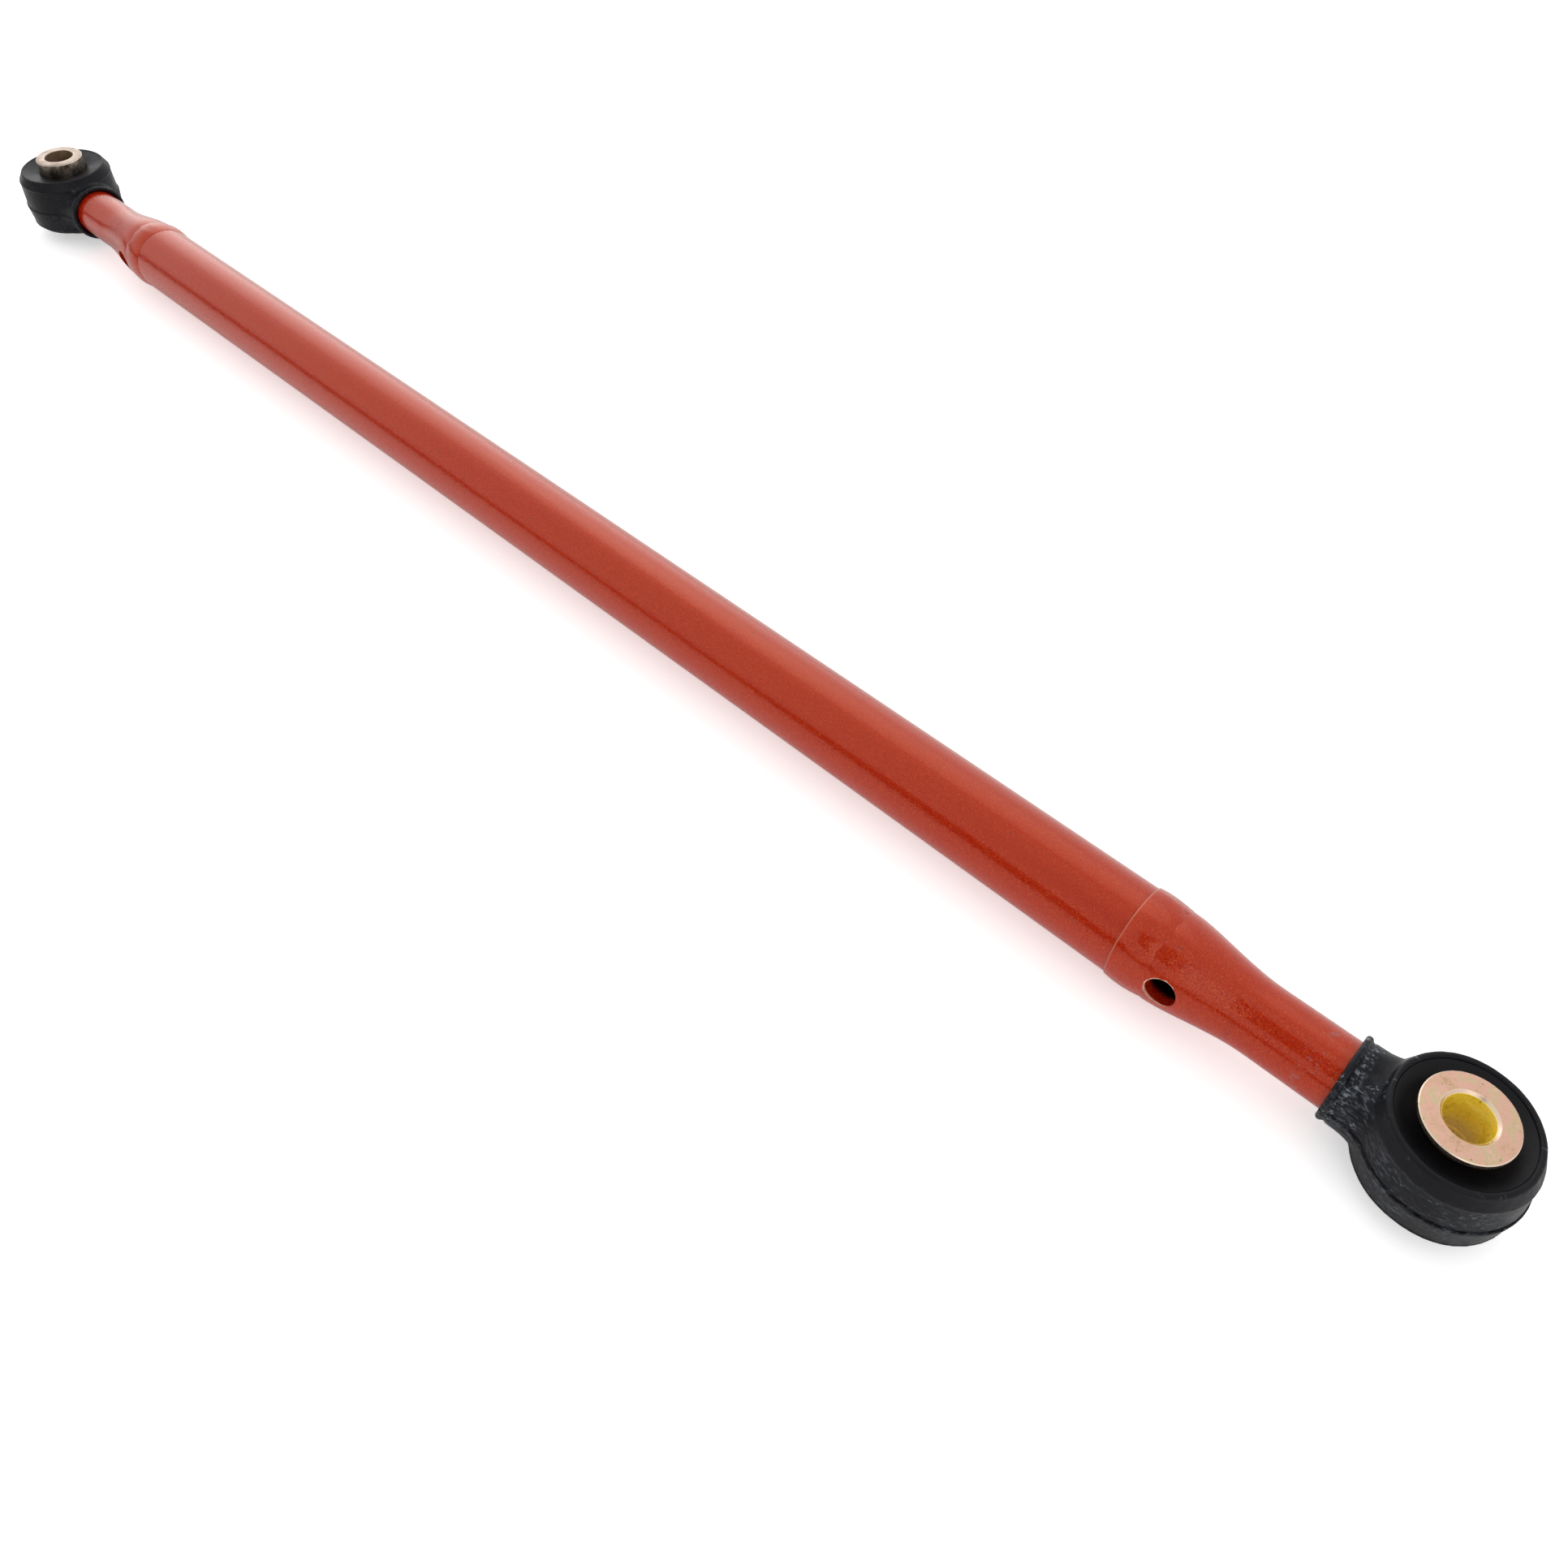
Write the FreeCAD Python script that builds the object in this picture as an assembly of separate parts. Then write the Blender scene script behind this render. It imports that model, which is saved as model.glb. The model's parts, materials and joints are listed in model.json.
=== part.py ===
import FreeCAD, Part
import math
import os

# Straight suspension link with a rubber-booted spherical bearing at each end.
# Millimetres.  Origin midway between the two bearing centres, +X along the arm
# towards the "near" end, +Z along the two bolt bores.
# Each end is drawn about its own bearing centre with the arm running to -X,
# and is then placed: the near end as it is, the far end turned half round.

# --- driving dimensions -----------------------------------------------------
EYE_TO_EYE = 680.0          # bearing centre to bearing centre

TUBE_R = 13.45              # main tube, 26.9 mm outside diameter
TUBE_WALL = 2.6
JOINT_AT = 82.0             # bearing centre to the butt joint of tube and socket
SPIGOT_LENGTH = 14.0        # socket spigot inside the tube
GROOVE = 1.5                # weld preparation on both sides of the butt joint

BEAD_FRONT = 76.5           # weld bead on the butt joint, distances from the centre
BEAD_CROWN = 83.5
BEAD_BACK = 87.5
BEAD_HEIGHT = 0.75
BEAD_TOE = 0.3

NECK_R = 10.0               # swaged neck of the socket
NECK_END = 23.6
NECK_BORE_R = 7.4
TAPER_START = 48.0
TAPER_END = 76.0
CAVITY_R = 8.8
VENT_R = 4.3
VENT_AT = 72.0
VENT_TURN = {"near": 9.0, "far": -5.0}   # degrees above the horizontal side

SHANK_END = 54.0            # eye shank, pushed into the neck
HOUSING_R = 17.4
HOUSING_HALF = 7.4
HOUSING_NECK_R = 9.7
WELD_BACK = 22.4
WELD_FRONT = 24.6
WELD_HEIGHT = 0.7

RACE_R = 14.0               # spherical bearing
RACE_HALF = 6.0
LINER_OUTER_R = 12.45
LINER_INNER_R = 12.05
BALL_R = 12.0
BALL_HALF = 8.0
BALL_BORE_R = 8.0
LEDGE_R = 12.7
RING_GROOVE_R = 14.9
RING_THICK = 1.0
RING_GAP_DEG = 40.0
RING_RADIAL = 1.9

BORE_R = 6.1                # bolt bore through the spacers, M12 clearance
BARREL_R = 7.95
SHOULDER_R = 8.6
SHOULDER_Z = 8.1
MID_CHAMFER = 0.4
UPPER_SPACER_TOP = {"near": 16.2, "far": 19.0}      # bearing centre to outer face
LOWER_SPACER_TOP = {"near": 16.2, "far": 15.4}
SPACER_FACE_R = {"near": 11.6, "far": 10.0}
FLANGE_THICK = 1.6
FLANGE_UNDER_R = 10.6
COLLAR_BOTTOM = 10.6
MOUTH_CHAMFER = {"near": 0.75, "far": 0.3}
RIM_CHAMFER = {"near": 0.25, "far": 0.5}

BOOT_R = 20.1               # boot wall at the mould parting plane
# The two halves of a boot, drawn upwards from the parting plane: crest of the rounded
# lip, top of the wall, how much the wall leans in by then, and floor of the recess.
UPPER_HALF = {
    "near": {"lip_r": 17.0, "lip_z": 13.8, "shoulder_z": 8.8, "draft": 0.6, "floor": 9.4},
    "far": {"lip_r": 17.3, "lip_z": 14.3, "shoulder_z": 10.4, "draft": 0.0, "floor": 9.4},
}
LOWER_HALF = {"lip_r": 17.5, "lip_z": 11.0, "shoulder_z": 8.8, "draft": 0.6, "floor": 8.8}
LIP_ROUND = 1.0
RECESS_R = 14.9
OPENING_R = 12.7
WEB_UNDER = 8.0
SLEEVE_R = 11.6
SLEEVE_END = 27.0
SLEEVE_GROOVE = 0.35
ROLL_R = 1.0                # rolled bead at the sleeve's mouth
ROLL_CENTRE_R = 11.35
FLARE_R = 13.0              # concave corner between sleeve and head, seen from above
RAMP_END = 23.0             # concave ramp from the lip down to the sleeve's top
RAMP_SAG = 0.2
RAMP_LIFT = 0.4
FLARE_BITE = 0.4
SHOULDER_OVERHANG = 0.35
MISMATCH = 0.5              # the lower mould half is this much larger
PARTING_DEPTH = 0.3
PARTING_WIDTH = 0.3
FIT_GAP = 0.05

X_AXIS = FreeCAD.Vector(1, 0, 0)
Z_AXIS = FreeCAD.Vector(0, 0, 1)
ORIGIN = FreeCAD.Vector(0, 0, 0)


# --- helpers ----------------------------------------------------------------
def save(name, shape):
    shape.exportStep("parts/" + name + ".step")


def place(shape, end):
    placed = shape.copy()
    if end == "far":
        placed.rotate(ORIGIN, Z_AXIS, 180.0)
    shift = EYE_TO_EYE / 2 if end == "near" else -EYE_TO_EYE / 2
    placed.translate(FreeCAD.Vector(shift, 0, 0))
    return placed


def face_from(points):
    wire = Part.makePolygon(points + [points[0]])
    return Part.Face(wire)


def turned_about_x(outline):
    """Solid of revolution about X from (x, radius) pairs."""
    points = [FreeCAD.Vector(x, radius, 0) for x, radius in outline]
    return face_from(points).revolve(ORIGIN, X_AXIS, 360.0)


def turned_about_z(outline):
    """Solid of revolution about Z from (radius, z) pairs."""
    points = [FreeCAD.Vector(radius, 0, z) for radius, z in outline]
    return face_from(points).revolve(ORIGIN, Z_AXIS, 360.0)


def cylinder_x(radius, x_from, x_to):
    return Part.makeCylinder(radius, x_to - x_from, FreeCAD.Vector(x_from, 0, 0), X_AXIS)


def cylinder_z(radius, z_from, z_to):
    return Part.makeCylinder(radius, z_to - z_from, FreeCAD.Vector(0, 0, z_from), Z_AXIS)


def slab(z_from, z_to):
    """Wide block between two heights, larger than any end part."""
    size = 4 * SHANK_END
    corner = FreeCAD.Vector(-size / 2, -size / 2, z_from)
    return Part.makeBox(size, size, z_to - z_from, corner)


def line(start, end):
    return Part.makeLine(start, end)


def chain(points):
    return [line(a, b) for a, b in zip(points, points[1:])]


# --- tube and its welded ends -------------------------------------------------
def main_tube():
    half = EYE_TO_EYE / 2 - JOINT_AT
    bore_r = TUBE_R - TUBE_WALL
    return turned_about_x([
        (-half, bore_r),
        (-half, TUBE_R - GROOVE),
        (-half + GROOVE, TUBE_R),
        (half - GROOVE, TUBE_R),
        (half, TUBE_R - GROOVE),
        (half, bore_r),
    ])


def taper_edge():
    """Outer skin of the swaged taper: one smooth S from neck to full diameter."""
    start = FreeCAD.Vector(-TAPER_START, NECK_R, 0)
    end = FreeCAD.Vector(-TAPER_END, TUBE_R, 0)
    span = TAPER_END - TAPER_START
    curve = Part.BezierCurve()
    curve.setPoles([
        start,
        start + FreeCAD.Vector(-0.30 * span, 0, 0),
        end + FreeCAD.Vector(0.42 * span, -0.42 * (TUBE_R - NECK_R), 0),
        end + FreeCAD.Vector(0.16 * span, -0.02, 0),
        end,
    ])
    return curve.toShape()


def socket(end):
    spigot_r = TUBE_R - TUBE_WALL
    after_taper = [
        FreeCAD.Vector(-TAPER_END, TUBE_R, 0),
        FreeCAD.Vector(-JOINT_AT + GROOVE, TUBE_R, 0),
        FreeCAD.Vector(-JOINT_AT, TUBE_R - GROOVE, 0),
        FreeCAD.Vector(-JOINT_AT, spigot_r, 0),
        FreeCAD.Vector(-JOINT_AT - SPIGOT_LENGTH, spigot_r, 0),
        FreeCAD.Vector(-JOINT_AT - SPIGOT_LENGTH, CAVITY_R, 0),
        FreeCAD.Vector(-TAPER_END + 6.0, CAVITY_R, 0),
        FreeCAD.Vector(-SHANK_END, NECK_BORE_R, 0),
        FreeCAD.Vector(-NECK_END, NECK_BORE_R, 0),
        FreeCAD.Vector(-NECK_END, NECK_R, 0),
        FreeCAD.Vector(-TAPER_START, NECK_R, 0),
    ]
    wire = Part.Wire([taper_edge()] + chain(after_taper))
    body = Part.Face(wire).revolve(ORIGIN, X_AXIS, 360.0)
    return body.cut(vent_drill(end))


def vent_drill(end):
    """Radial drill for the vent hole; it always opens towards the arm's -Y side."""
    side = -1.0 if end == "near" else 1.0
    turn = math.radians(VENT_TURN[end])
    direction = FreeCAD.Vector(0, side * math.cos(turn), math.sin(turn))
    start = FreeCAD.Vector(-VENT_AT, 0, 0)
    return Part.makeCylinder(VENT_R, 2 * TUBE_R, start, direction)


def tube_weld():
    """Weld bead over the butt joint: a root in the groove and a low wide cap."""
    crown_r = TUBE_R + BEAD_HEIGHT
    cap = Part.Arc(
        FreeCAD.Vector(-BEAD_FRONT, TUBE_R, 0),
        FreeCAD.Vector(-BEAD_CROWN, crown_r, 0),
        FreeCAD.Vector(-BEAD_BACK, TUBE_R + BEAD_TOE, 0),
    ).toShape()
    points = [
        FreeCAD.Vector(-BEAD_BACK, TUBE_R + BEAD_TOE, 0),
        FreeCAD.Vector(-BEAD_BACK, TUBE_R, 0),
        FreeCAD.Vector(-JOINT_AT - GROOVE, TUBE_R, 0),
        FreeCAD.Vector(-JOINT_AT, TUBE_R - GROOVE, 0),
        FreeCAD.Vector(-JOINT_AT + GROOVE, TUBE_R, 0),
        FreeCAD.Vector(-BEAD_FRONT, TUBE_R, 0),
    ]
    return Part.Face(Part.Wire([cap] + chain(points))).revolve(ORIGIN, X_AXIS, 360.0)


def eye_weld():
    """Fillet weld that closes the neck onto the eye, under the boot sleeve."""
    start = FreeCAD.Vector(-WELD_FRONT, NECK_R, 0)
    crown = FreeCAD.Vector(-NECK_END, NECK_R + WELD_HEIGHT, 0)
    end = FreeCAD.Vector(-WELD_BACK, NECK_R, 0)
    cap = Part.Arc(start, crown, end).toShape()
    inner_r = HOUSING_NECK_R
    points = [
        end,
        FreeCAD.Vector(-WELD_BACK, inner_r, 0),
        FreeCAD.Vector(-NECK_END, inner_r, 0),
        FreeCAD.Vector(-NECK_END, NECK_R, 0),
        start,
    ]
    return Part.Face(Part.Wire([cap] + chain(points))).revolve(ORIGIN, X_AXIS, 360.0)


# --- eye and spherical bearing ------------------------------------------------
def eye_housing():
    """Forged eye with its shank; bored for the race, ledge below, ring groove above."""
    rim = 1.0
    disc = turned_about_z([
        (0, -HOUSING_HALF),
        (HOUSING_R - rim, -HOUSING_HALF),
        (HOUSING_R, -HOUSING_HALF + rim),
        (HOUSING_R, HOUSING_HALF - rim),
        (HOUSING_R - rim, HOUSING_HALF),
        (0, HOUSING_HALF),
    ])
    shank = turned_about_x([
        (-RACE_R, 0),
        (-RACE_R, HOUSING_HALF),
        (-HOUSING_R, HOUSING_NECK_R),
        (-NECK_END, HOUSING_NECK_R),
        (-NECK_END, NECK_BORE_R),
        (-SHANK_END + 1.5, NECK_BORE_R),
        (-SHANK_END, NECK_BORE_R - 1.5),
        (-SHANK_END, 0),
    ])
    body = disc.fuse(shank)
    body = body.cut(cylinder_z(RACE_R, -RACE_HALF, 2 * NECK_R))
    body = body.cut(cylinder_z(LEDGE_R, -2 * NECK_R, 0))
    body = body.cut(cylinder_z(RING_GROOVE_R, RACE_HALF, RACE_HALF + RING_THICK))
    return body.removeSplitter()


def sphere_zone(outer_r, inner_r, half):
    """Ring between two spheres, cut off at plus and minus half."""
    zone = Part.makeSphere(outer_r).cut(Part.makeSphere(inner_r))
    return zone.common(cylinder_z(outer_r + 1.0, -half, half))


def race():
    ring = cylinder_z(RACE_R, -RACE_HALF, RACE_HALF)
    return ring.cut(Part.makeSphere(LINER_OUTER_R))


def liner():
    return sphere_zone(LINER_OUTER_R, LINER_INNER_R, RACE_HALF)


def ball():
    zone = Part.makeSphere(BALL_R).common(cylinder_z(BALL_R + 1.0, -BALL_HALF, BALL_HALF))
    return zone.cut(cylinder_z(BALL_BORE_R, -BALL_R, BALL_R))


def retaining_ring():
    """Internal snap ring in the housing groove, open towards the arm."""
    inner_r = RING_GROOVE_R - RING_RADIAL
    ring = cylinder_z(RING_GROOVE_R, RACE_HALF, RACE_HALF + RING_THICK)
    ring = ring.cut(cylinder_z(inner_r, RACE_HALF - 1.0, RACE_HALF + RING_THICK + 1.0))
    half_gap = math.radians(RING_GAP_DEG / 2)
    reach = 2 * RING_GROOVE_R
    wedge = Part.makePolygon([
        FreeCAD.Vector(0, 0, RACE_HALF - 1.0),
        FreeCAD.Vector(-reach, reach * math.tan(half_gap), RACE_HALF - 1.0),
        FreeCAD.Vector(-reach, -reach * math.tan(half_gap), RACE_HALF - 1.0),
        FreeCAD.Vector(0, 0, RACE_HALF - 1.0),
    ])
    prism = Part.Face(wedge).extrude(FreeCAD.Vector(0, 0, RING_THICK + 2.0))
    return ring.cut(prism)


def spacer(end, top):
    """Flanged (near) or plain collar (far) misalignment spacer, from z = 0 up to top."""
    face_r = SPACER_FACE_R[end]
    mouth = MOUTH_CHAMFER[end]
    rim = RIM_CHAMFER[end]
    if end == "near":
        under = [
            (FLANGE_UNDER_R, top - FLANGE_THICK - 0.4),
            (face_r, top - FLANGE_THICK),
        ]
    else:
        under = [(face_r, COLLAR_BOTTOM)]
    return turned_about_z([
        (BORE_R + MID_CHAMFER, 0),
        (BARREL_R, 0),
        (BARREL_R, SHOULDER_Z),
        (SHOULDER_R, SHOULDER_Z),
    ] + under + [
        (face_r, top - rim),
        (face_r - rim, top),
        (BORE_R + mouth, top),
        (BORE_R, top - mouth),
        (BORE_R, MID_CHAMFER),
    ])


def lower_spacer(end):
    turned = spacer(end, LOWER_SPACER_TOP[end])
    turned.rotate(ORIGIN, X_AXIS, 180.0)
    return turned


# --- rubber boot --------------------------------------------------------------
def boot_head(half, wall_r):
    """Upper half of a boot head, about Z: drafted wall, shoulder, cone and rounded lip."""
    half_round = LIP_ROUND * math.sqrt(0.5)
    lip_r = half["lip_r"]
    lip_z = half["lip_z"]
    shoulder_r = wall_r - half["draft"]
    shoulder_z = half["shoulder_z"]
    lip_top = FreeCAD.Vector(lip_r, 0, lip_z)
    lip_middle = FreeCAD.Vector(lip_r + half_round, 0, lip_z - LIP_ROUND + half_round)
    lip_side = FreeCAD.Vector(lip_r + LIP_ROUND, 0, lip_z - LIP_ROUND)
    arc = Part.Arc(lip_top, lip_middle, lip_side).toShape()
    rest = chain([
        lip_side,
        FreeCAD.Vector(shoulder_r, 0, shoulder_z),
        FreeCAD.Vector(shoulder_r - SHOULDER_OVERHANG, 0, shoulder_z - SHOULDER_OVERHANG),
        FreeCAD.Vector(wall_r, 0, 0),
        FreeCAD.Vector(0, 0, 0),
        FreeCAD.Vector(0, 0, lip_z),
        lip_top,
    ])
    return Part.Face(Part.Wire([arc] + rest)).revolve(ORIGIN, Z_AXIS, 360.0)


def boot_sleeve(wall_r, sleeve_r):
    """Sleeve about X with its mouth groove, flared into the head by a concave arc.

    The arc is tangent to the sleeve and runs FLARE_BITE deep into the head's wall.
    """
    inner_wall_r = wall_r - FLARE_BITE
    centre_y = sleeve_r + FLARE_R
    centre_x = math.sqrt((inner_wall_r + FLARE_R) ** 2 - centre_y ** 2)
    scale = inner_wall_r / (inner_wall_r + FLARE_R)
    end = FreeCAD.Vector(-scale * centre_x, scale * centre_y, 0)
    start = FreeCAD.Vector(-centre_x, sleeve_r, 0)
    mid_angle = (math.atan2(end.y - centre_y, end.x + centre_x) - math.pi / 2) / 2
    middle = FreeCAD.Vector(
        -centre_x + FLARE_R * math.cos(mid_angle),
        centre_y + FLARE_R * math.sin(mid_angle), 0)
    mouth = -SLEEVE_END + ROLL_R
    groove_r = sleeve_r - SLEEVE_GROOVE
    rest = chain([
        end,
        FreeCAD.Vector(end.x, 0, 0),
        FreeCAD.Vector(mouth, 0, 0),
        FreeCAD.Vector(mouth, groove_r, 0),
        FreeCAD.Vector(mouth + 1.6 * ROLL_R, groove_r, 0),
        FreeCAD.Vector(mouth + 2.0 * ROLL_R, sleeve_r, 0),
        start,
    ])
    arc = Part.Arc(start, middle, end).toShape()
    return Part.Face(Part.Wire([arc] + rest)).revolve(ORIGIN, X_AXIS, 360.0)


def boot_ramp(half, sleeve_r):
    """Height limit of the flare, about Z: a concave ramp from lip to sleeve top."""
    top = sleeve_r + RAMP_LIFT
    lip_side = FreeCAD.Vector(half["lip_r"] + LIP_ROUND / 2, 0, half["lip_z"] - LIP_ROUND)
    bottom = FreeCAD.Vector(RAMP_END, 0, top)
    middle = (lip_side + bottom) * 0.5 - FreeCAD.Vector(RAMP_SAG, 0, RAMP_SAG)
    outer_x = SLEEVE_END + sleeve_r
    arc = Part.Arc(lip_side, middle, bottom).toShape()
    rest = chain([
        bottom,
        FreeCAD.Vector(outer_x, 0, top),
        FreeCAD.Vector(outer_x, 0, 0),
        FreeCAD.Vector(0, 0, 0),
        FreeCAD.Vector(0, 0, lip_side.z),
        lip_side,
    ])
    return Part.Face(Part.Wire([arc] + rest)).revolve(ORIGIN, Z_AXIS, 360.0)


def boot_skin(half, growth):
    """Upper half of everything inside the boot's outer surface, before the cavity."""
    wall_r = BOOT_R + growth
    sleeve_r = SLEEVE_R + growth
    sleeve = boot_sleeve(wall_r, sleeve_r).common(boot_ramp(half, sleeve_r))
    return boot_head(half, wall_r).fuse(sleeve)


def boot_roll():
    """Rolled bead round the sleeve's mouth."""
    centre = FreeCAD.Vector(-SLEEVE_END + ROLL_R, 0, 0)
    return Part.makeTorus(ROLL_CENTRE_R, ROLL_R, centre, X_AXIS)


def boot_recess(half):
    """Dished recess of the upper side, about Z, with the opening for ball and spacer."""
    half_round = LIP_ROUND * math.sqrt(0.5)
    lip_r = half["lip_r"]
    lip_z = half["lip_z"]
    floor = half["floor"]
    above = 2 * lip_z
    inner_lip = FreeCAD.Vector(lip_r - LIP_ROUND, 0, lip_z - LIP_ROUND)
    lip_top = FreeCAD.Vector(lip_r, 0, lip_z)
    lip_middle = FreeCAD.Vector(lip_r - half_round, 0, lip_z - LIP_ROUND + half_round)
    wall_foot = FreeCAD.Vector(RECESS_R, 0, floor + LIP_ROUND)
    floor_edge = FreeCAD.Vector(RECESS_R - LIP_ROUND, 0, floor)
    floor_middle = FreeCAD.Vector(
        RECESS_R - LIP_ROUND + half_round, 0, floor + LIP_ROUND - half_round)
    edges = [
        Part.Arc(lip_top, lip_middle, inner_lip).toShape(),
        line(inner_lip, wall_foot),
        Part.Arc(wall_foot, floor_middle, floor_edge).toShape(),
    ] + chain([
        floor_edge,
        FreeCAD.Vector(OPENING_R, 0, floor),
        FreeCAD.Vector(OPENING_R, 0, -1.0),
        FreeCAD.Vector(0, 0, -1.0),
        FreeCAD.Vector(0, 0, above),
        FreeCAD.Vector(lip_r, 0, above),
        lip_top,
    ])
    return Part.Face(Part.Wire(edges)).revolve(ORIGIN, Z_AXIS, 360.0)


def boot_cavity():
    """Inner space: the eye, its neck with the weld, and the socket's neck."""
    eye = cylinder_z(HOUSING_R + FIT_GAP, -WEB_UNDER, WEB_UNDER)
    neck = turned_about_x([
        (-RACE_R, 0),
        (-RACE_R, HOUSING_HALF + FIT_GAP),
        (-HOUSING_R, HOUSING_NECK_R + FIT_GAP),
        (-WELD_BACK + 0.5, HOUSING_NECK_R + FIT_GAP),
        (-WELD_BACK, NECK_R + WELD_HEIGHT + FIT_GAP),
        (-WELD_FRONT, NECK_R + WELD_HEIGHT + FIT_GAP),
        (-WELD_FRONT - 0.5, NECK_R + FIT_GAP),
        (-SLEEVE_END - ROLL_R, NECK_R + FIT_GAP),
        (-SLEEVE_END - ROLL_R, 0),
    ])
    return eye.fuse(neck)


def boot(end):
    """Moulded boot: two mould halves that meet in a fine parting groove."""
    half = UPPER_HALF[end]
    upper = boot_skin(half, 0.0).common(slab(PARTING_WIDTH, 2 * half["lip_z"]))
    groove = boot_skin(half, -PARTING_DEPTH).common(slab(0, PARTING_WIDTH))
    lower = boot_skin(LOWER_HALF, MISMATCH).mirror(ORIGIN, Z_AXIS)
    body = upper.fuse([groove, lower, boot_roll()])
    return body.cut([
        boot_recess(half), boot_recess(LOWER_HALF).mirror(ORIGIN, Z_AXIS), boot_cavity()])


# --- the pieces ---------------------------------------------------------------
def end_pieces(end):
    return {
        "socket": socket(end),
        "tube_weld": tube_weld(),
        "eye_weld": eye_weld(),
        "eye_housing": eye_housing(),
        "bearing_race": race(),
        "bearing_liner": liner(),
        "bearing_ball": ball(),
        "snap_ring": retaining_ring(),
        "upper_spacer": spacer(end, UPPER_SPACER_TOP[end]),
        "lower_spacer": lower_spacer(end),
        "boot": boot(end),
    }


def main():
    os.makedirs("parts", exist_ok=True)
    save("main_tube", main_tube())
    for end in ("near", "far"):
        for name, shape in end_pieces(end).items():
            save(end + "_" + name, place(shape, end))


main()
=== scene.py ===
import json
import math

import bmesh
import bpy
from mathutils import Matrix, Vector, noise


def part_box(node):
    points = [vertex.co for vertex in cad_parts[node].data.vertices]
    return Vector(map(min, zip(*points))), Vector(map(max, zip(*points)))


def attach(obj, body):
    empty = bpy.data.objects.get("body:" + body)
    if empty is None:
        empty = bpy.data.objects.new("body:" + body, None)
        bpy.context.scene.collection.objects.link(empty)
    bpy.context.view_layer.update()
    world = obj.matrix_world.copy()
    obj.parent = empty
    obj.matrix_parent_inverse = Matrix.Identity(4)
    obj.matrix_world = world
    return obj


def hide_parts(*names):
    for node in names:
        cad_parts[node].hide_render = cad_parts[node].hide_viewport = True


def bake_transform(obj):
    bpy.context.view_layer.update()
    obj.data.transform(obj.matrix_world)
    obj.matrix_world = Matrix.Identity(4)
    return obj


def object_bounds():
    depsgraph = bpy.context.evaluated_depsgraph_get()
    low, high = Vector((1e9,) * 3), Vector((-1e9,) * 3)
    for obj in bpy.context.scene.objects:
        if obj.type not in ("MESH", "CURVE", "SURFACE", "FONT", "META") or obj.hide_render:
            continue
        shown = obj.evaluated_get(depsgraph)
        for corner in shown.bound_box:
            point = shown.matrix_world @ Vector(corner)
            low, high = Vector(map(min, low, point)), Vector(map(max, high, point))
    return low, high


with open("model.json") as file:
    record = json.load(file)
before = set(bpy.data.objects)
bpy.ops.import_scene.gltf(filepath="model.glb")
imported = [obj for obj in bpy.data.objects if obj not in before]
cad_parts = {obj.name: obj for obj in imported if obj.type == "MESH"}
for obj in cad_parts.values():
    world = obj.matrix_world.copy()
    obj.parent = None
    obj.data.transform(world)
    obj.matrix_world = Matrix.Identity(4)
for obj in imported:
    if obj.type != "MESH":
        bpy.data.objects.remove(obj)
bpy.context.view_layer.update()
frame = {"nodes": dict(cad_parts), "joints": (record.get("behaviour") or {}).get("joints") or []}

# Straight suspension link with a booted spherical bearing at each end.
# Metres, in the frame of the CAD model: +X along the arm, +Z along the bolt bores.
# The metal CAD pieces keep their shapes.  The weld beads and the rubber boots are remade
# with rippled and softened surfaces, and thin dished rubber skins close the boots.

MM = 0.001
ENDS = ("near", "far")
JOINT_CENTRE = {
    joint["name"].split("_")[0]: Vector(joint["pos_m"])
    for joint in frame["joints"] if joint["name"].endswith("_ball_tilt")
}
TOWARDS_ARM = {"near": -1.0, "far": 1.0}     # sign of X from the bearing to the arm
ARM_MIDDLE = Vector((0.0, 0.0, 0.0))

# --- camera -------------------------------------------------------------------
CAMERA_PLACE = (0.3140, -0.2130, 0.3099)
CAMERA_AHEAD = (-0.46666, 0.52854, -0.70914)
CAMERA_RIGHT = (0.73525, 0.67747, 0.02110)
CAMERA_SENSOR = 36.0
CAMERA_LENS = 30.64
CAMERA_SHIFT = (-0.0046, -0.0931)

# --- studio -------------------------------------------------------------------
FLOOR_HALF = 6.0
FLOOR_DROP = 0.0004
FLOOR_COLOUR = (0.93, 0.93, 0.93)
FLOOR_GLOW = 0.40            # light table: shadows stay soft and pale
TENT_LIGHT = 1.00            # radiance of the white tent round the object
HORIZON_TOP = 0.17           # dark gap between floor and tent, in front
HORIZON_WIDER = 0.20         # and how much higher it is beside the opening
BACK_GLOW = 0.85             # the far back corner of the tent is this much brighter
SEAM_SLOPE = 0.13            # seam of two tent panels, parallel to the arm
SEAM_HALF = 0.03
OPENING_X = 0.01             # the photographer's opening in the tent's front wall
OPENING_HALF = 0.17
OPENING_LOW = 32.0           # degrees above the horizon
OPENING_HIGH = 72.0
GAP_DARKNESS = 0.95
SEAM_DARKNESS = 0.80
OPENING_DARKNESS = 0.95
SOFT_LAMPS = {               # place, size and power of each
    "key": ((-0.6, 1.2, 1.8), (2.0, 1.6), 5.0),
    "fill": ((1.0, -1.2, 1.3), (1.4, 1.4), 2.5),
}

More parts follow.
